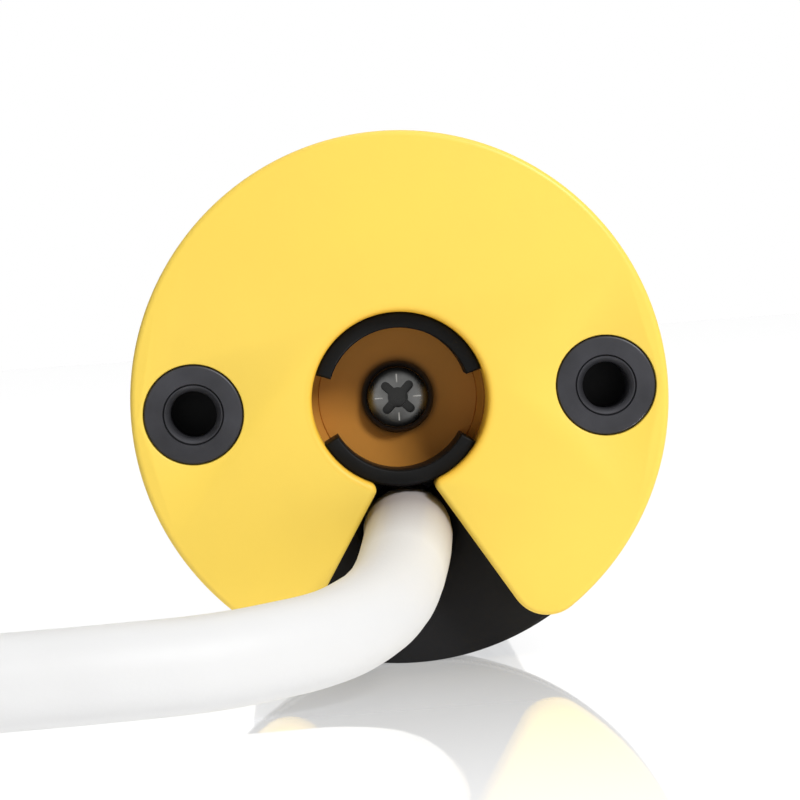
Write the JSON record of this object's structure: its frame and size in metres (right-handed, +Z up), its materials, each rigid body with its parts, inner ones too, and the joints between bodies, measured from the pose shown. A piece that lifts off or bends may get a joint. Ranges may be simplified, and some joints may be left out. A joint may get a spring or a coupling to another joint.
{
  "type": "tubular roller blind motor",
  "caption": "Tubular roller blind motor: round yellow head with threaded mounts and a V-shaped cable slot, crown and drive wheel for a roller tube, geared motor inside, cable tied in a hank.",
  "frame": {"origin": "centre of the head's mounting face, on the motor's axis", "axes": "+Y along the motor's axis from the head to the drive wheel, +Z up, +X to the right as seen from the front; the motor lies on a table"},
  "size_m": [0.1249, 0.4065, 0.0554],
  "materials": {
    "plate_yellow": "satin",
    "head_black": "satin",
    "insert_steel": "dark satin",
    "screw_steel": "worn",
    "tube_steel": "zinc plated",
    "crown_black": "satin",
    "button_white": "satin",
    "button_yellow": "satin",
    "board_green": "solder mask",
    "switch_grey": "satin",
    "frame_ivory": "satin",
    "tray_dark": "satin",
    "terminal_green": "satin",
    "relay_blue": "gloss",
    "capacitor_can": "satin",
    "lead_red": "satin",
    "shield_alloy": "cast",
    "iron": "laminated",
    "copper": "enamelled",
    "bright_steel": "ground",
    "magnet_grey": "dull",
    "lining_brown": "matte",
    "gear_steel": "machined",
    "gear_brass": "machined",
    "bush_bronze": "sintered",
    "cable_white": "satin",
    "core_insulation": "satin",
    "tie_black": "matte"
  },
  "bodies": {
    "motor": {"head_plate": "plate_yellow", "head_body": "head_black", "threaded_inserts": "insert_steel", "centre_screw": "screw_steel", "cable_clamp": "tray_dark", "clamp_screws": "bright_steel", "cable_lead_in": "cable_white", "key_board": "board_green", "key_switches": "switch_grey", "motor_tube": "tube_steel", "tube_screws": "screw_steel", "crown_clip": "bright_steel", "counter_frame": "frame_ivory", "sensor_board": "board_green", "electronics_tray": "tray_dark", "control_board": "board_green", "terminal_block": "terminal_green", "inner_wires": "core_insulation", "relays": "relay_blue", "run_capacitor": "capacitor_can", "motor_leads": "lead_red", "front_shield": "shield_alloy", "rear_shield": "shield_alloy", "rotor_bearings": "bright_steel", "stator_core": "iron", "stator_windings": "copper", "brake_coil": "copper", "ring_gear": "gear_steel", "end_cap": "tray_dark", "output_bush": "bush_bronze", "cable": "cable_white", "cable_hank": "cable_white", "hank_tie": "tie_black", "cable_cores": "core_insulation", "core_ferrules": "bright_steel"},
    "crown": {"crown": "crown_black"},
    "counter": {"counter_pinion": "frame_ivory", "counter_magnet": "magnet_grey"},
    "output": {"carrier_3": "gear_brass", "output_shaft": "bright_steel", "drive_wheel": "crown_black", "wheel_clip": "bright_steel"},
    "second_carrier": {"carrier_2": "gear_brass"},
    "first_carrier": {"carrier_1": "gear_brass"},
    "rotor": {"rotor_core": "iron", "rotor_shaft": "bright_steel", "brake_disc": "lining_brown", "sun_gear": "gear_brass"},
    "up_button": {"limit_button_up": "button_white"},
    "down_button": {"limit_button_down": "button_yellow"},
    "brake_plate": {"brake_armature": "magnet_grey"},
    "planet_body_1a": {"planet_1a": "gear_steel"},
    "planet_body_1b": {"planet_1b": "gear_steel"},
    "planet_body_1c": {"planet_1c": "gear_steel"},
    "planet_body_2a": {"planet_2a": "gear_steel"},
    "planet_body_2b": {"planet_2b": "gear_steel"},
    "planet_body_2c": {"planet_2c": "gear_steel"},
    "planet_body_3a": {"planet_3a": "gear_steel"},
    "planet_body_3b": {"planet_3b": "gear_steel"},
    "planet_body_3c": {"planet_3c": "gear_steel"}
  },
  "joints": [
    {"name": "output_spin", "type": "hinge", "parent": "motor", "child": "output", "pos_m": [0, 0.347, 0], "axis": [0, -1, 0], "continuous": true},
    {"name": "second_carrier_spin", "type": "hinge", "parent": "motor", "child": "second_carrier", "pos_m": [0, 0.291, 0], "axis": [0, -1, 0], "continuous": true},
    {"name": "first_carrier_spin", "type": "hinge", "parent": "motor", "child": "first_carrier", "pos_m": [0, 0.279, 0], "axis": [0, -1, 0], "continuous": true},
    {"name": "rotor_spin", "type": "hinge", "parent": "motor", "child": "rotor", "pos_m": [0, 0.203, 0], "axis": [0, -1, 0], "continuous": true},
    {"name": "planet_1a_spin", "type": "hinge", "parent": "first_carrier", "child": "planet_body_1a", "pos_m": [0.00909, 0.2734, 0], "axis": [0, -1, 0], "continuous": true},
    {"name": "planet_1b_spin", "type": "hinge", "parent": "first_carrier", "child": "planet_body_1b", "pos_m": [-0.00454, 0.2734, 0.00787], "axis": [0, -1, 0], "continuous": true},
    {"name": "planet_1c_spin", "type": "hinge", "parent": "first_carrier", "child": "planet_body_1c", "pos_m": [-0.00454, 0.2734, -0.00787], "axis": [0, -1, 0], "continuous": true},
    {"name": "planet_2a_spin", "type": "hinge", "parent": "second_carrier", "child": "planet_body_2a", "pos_m": [0.00909, 0.2854, 0], "axis": [0, -1, 0], "continuous": true},
    {"name": "planet_2b_spin", "type": "hinge", "parent": "second_carrier", "child": "planet_body_2b", "pos_m": [-0.00454, 0.2854, 0.00787], "axis": [0, -1, 0], "continuous": true},
    {"name": "planet_2c_spin", "type": "hinge", "parent": "second_carrier", "child": "planet_body_2c", "pos_m": [-0.00454, 0.2854, -0.00787], "axis": [0, -1, 0], "continuous": true},
    {"name": "planet_3a_spin", "type": "hinge", "parent": "output", "child": "planet_body_3a", "pos_m": [0.00909, 0.2984, 0], "axis": [0, -1, 0], "continuous": true},
    {"name": "planet_3b_spin", "type": "hinge", "parent": "output", "child": "planet_body_3b", "pos_m": [-0.00454, 0.2984, 0.00787], "axis": [0, -1, 0], "continuous": true},
    {"name": "planet_3c_spin", "type": "hinge", "parent": "output", "child": "planet_body_3c", "pos_m": [-0.00454, 0.2984, -0.00787], "axis": [0, -1, 0], "continuous": true},
    {"name": "crown_spin", "type": "hinge", "parent": "motor", "child": "crown", "pos_m": [0, 0.0243, 0], "axis": [0, -1, 0], "continuous": true},
    {"name": "counter_spin", "type": "hinge", "parent": "motor", "child": "counter", "pos_m": [0, 0.0227, 0.016], "axis": [0, -1, 0], "continuous": true},
    {"name": "up_button_press", "type": "slide", "parent": "motor", "child": "up_button", "axis": [0.5299, 0, -0.848], "range_m": [0, 0.0012], "stiffness_N_per_m": 1500},
    {"name": "down_button_press", "type": "slide", "parent": "motor", "child": "down_button", "axis": [-0.5299, 0, -0.848], "range_m": [0, 0.0012], "stiffness_N_per_m": 1500},
    {"name": "brake_release", "type": "slide", "parent": "motor", "child": "brake_plate", "axis": [0, -1, 0], "range_m": [0, 0.0005], "stiffness_N_per_m": 2000}
  ],
  "couplings": [
    {"joint": "second_carrier_spin", "follows": "output_spin", "ratio": 5.5},
    {"joint": "first_carrier_spin", "follows": "output_spin", "ratio": 30.25},
    {"joint": "rotor_spin", "follows": "output_spin", "ratio": 166.38},
    {"joint": "planet_1a_spin", "follows": "output_spin", "ratio": -77.786},
    {"joint": "planet_1b_spin", "follows": "output_spin", "ratio": -77.786},
    {"joint": "planet_1c_spin", "follows": "output_spin", "ratio": -77.786},
    {"joint": "planet_2a_spin", "follows": "output_spin", "ratio": -14.143},
    {"joint": "planet_2b_spin", "follows": "output_spin", "ratio": -14.143},
    {"joint": "planet_2c_spin", "follows": "output_spin", "ratio": -14.143},
    {"joint": "planet_3a_spin", "follows": "output_spin", "ratio": -2.5714},
    {"joint": "planet_3b_spin", "follows": "output_spin", "ratio": -2.5714},
    {"joint": "planet_3c_spin", "follows": "output_spin", "ratio": -2.5714},
    {"joint": "counter_spin", "follows": "crown_spin", "ratio": 5}
  ]
}
